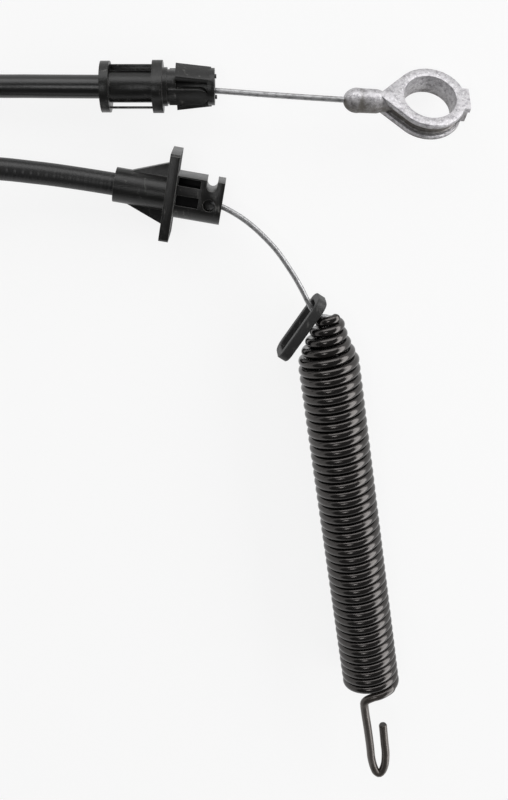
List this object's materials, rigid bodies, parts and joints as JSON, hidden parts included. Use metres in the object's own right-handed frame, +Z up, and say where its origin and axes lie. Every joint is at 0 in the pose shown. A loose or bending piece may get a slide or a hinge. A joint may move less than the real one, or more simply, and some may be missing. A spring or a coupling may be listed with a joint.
{
  "type": "mower clutch cable",
  "caption": "Sheathed pull cable with a snap-in fitting and a cast eye at one end, and a flanged anchor and a long hooked extension spring at the other.",
  "frame": {"origin": "on the floor the cable lies on, below the middle of the bounding box of everything but the wound spare conduit", "axes": "+Z up from the floor; +X from the wound conduit towards the eye; +Y from the spring's hook towards the eye's end of the cable"},
  "size_m": [0.2193, 0.2449, 0.0205],
  "materials": {
    "black_nylon": "moulded black nylon, satin with faint scuffs",
    "black_jacket": "extruded black jacket, satin",
    "cast_zinc": "silvery die-cast zinc alloy, as cast",
    "steel_rope": "plain steel wire rope",
    "black_spring_steel": "black coated spring steel, glossy",
    "white_liner": "white slippery liner",
    "bright_steel": "plain steel"
  },
  "bodies": {
    "conduit": {"conduit_upper_lead": "black_jacket", "conduit_coil": "black_jacket", "conduit_lower_lead": "black_jacket", "coil_tie_a": "black_nylon", "coil_tie_b": "black_nylon", "snap_in_fitting": "black_nylon", "flanged_anchor": "black_nylon", "upper_armour_end": "bright_steel", "lower_armour_end": "bright_steel", "upper_liner_end": "white_liner", "lower_liner_end": "white_liner"},
    "eye_end": {"cable_eye": "cast_zinc", "upper_wire": "steel_rope"},
    "spring_end": {"extension_spring": "black_spring_steel", "wire_end_stop": "bright_steel", "lower_wire": "steel_rope"},
    "link": {"retainer_link": "black_nylon"}
  },
  "joints": [
    {"name": "spring_end_travel", "type": "slide", "parent": "conduit", "child": "spring_end", "axis": [0.6576, -0.7533, 0], "range_m": [-0.022, 0.03], "deforming": ["lower_wire"]},
    {"name": "eye_travel", "type": "slide", "parent": "conduit", "child": "eye_end", "axis": [0.9982, -0.0577, 0.0148], "range_m": [-0.03, 0.022], "deforming": ["upper_wire"]},
    {"name": "retainer_swing", "type": "hinge", "parent": "spring_end", "child": "link", "pos_m": [0.00855, 0.04418, 0.0069], "axis": [-0.0434, 0.0292, -0.9986], "range_deg": [0, 40]}
  ],
  "couplings": [
    {"joint": "eye_travel", "follows": "spring_end_travel", "ratio": -1}
  ]
}
